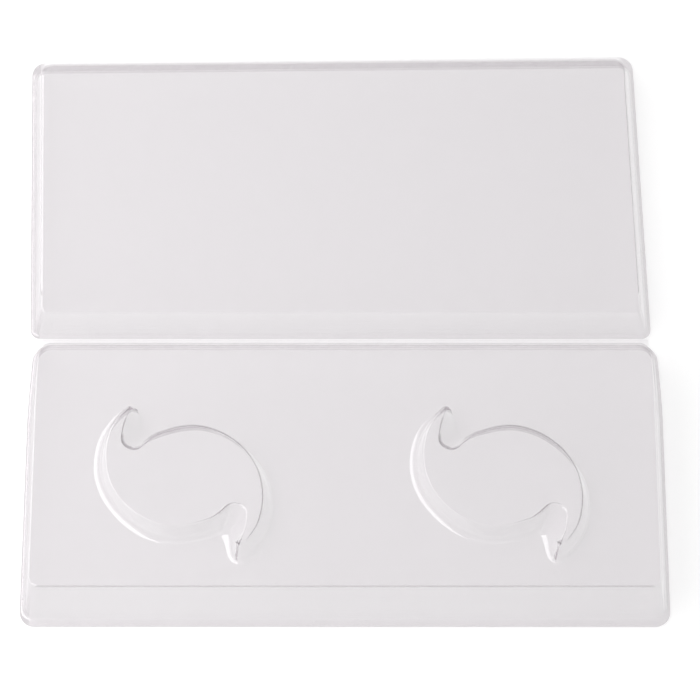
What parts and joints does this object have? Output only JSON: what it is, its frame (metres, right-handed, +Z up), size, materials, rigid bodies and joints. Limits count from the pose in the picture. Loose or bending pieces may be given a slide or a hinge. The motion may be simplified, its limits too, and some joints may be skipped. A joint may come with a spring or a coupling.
{
  "type": "false eyelash case",
  "caption": "Clear thermoformed clamshell case that holds a pair of strip false eyelashes: a base with raised leaf-shaped lash wells and a flat lid, joined along a living hinge",
  "frame": {"origin": "middle of the open case seen from above, at the height of the rims' undersides, which rest on the table", "axes": "X runs along the fold, from the left of the picture to its right; the base lies towards -Y, the lid towards +Y; Z is up, out of the table. The case lies open with its outside up, so both halves bulge towards +Z and every hollow is open towards -Z"},
  "size_m": [0.11, 0.1048, 0.0167],
  "materials": {
    "clear_sheet": "clear gloss"
  },
  "bodies": {
    "base": {"base_tray": "clear_sheet", "left_lash_well": "clear_sheet", "right_lash_well": "clear_sheet", "hinge_web": "clear_sheet"},
    "lid": {"lid_tray": "clear_sheet"}
  },
  "joints": [
    {"name": "lid_fold", "type": "hinge", "parent": "base", "child": "lid", "pos_m": [0, -0.00122, -0.0001], "axis": [1, 0, 0], "range_deg": [-180, 0]}
  ]
}
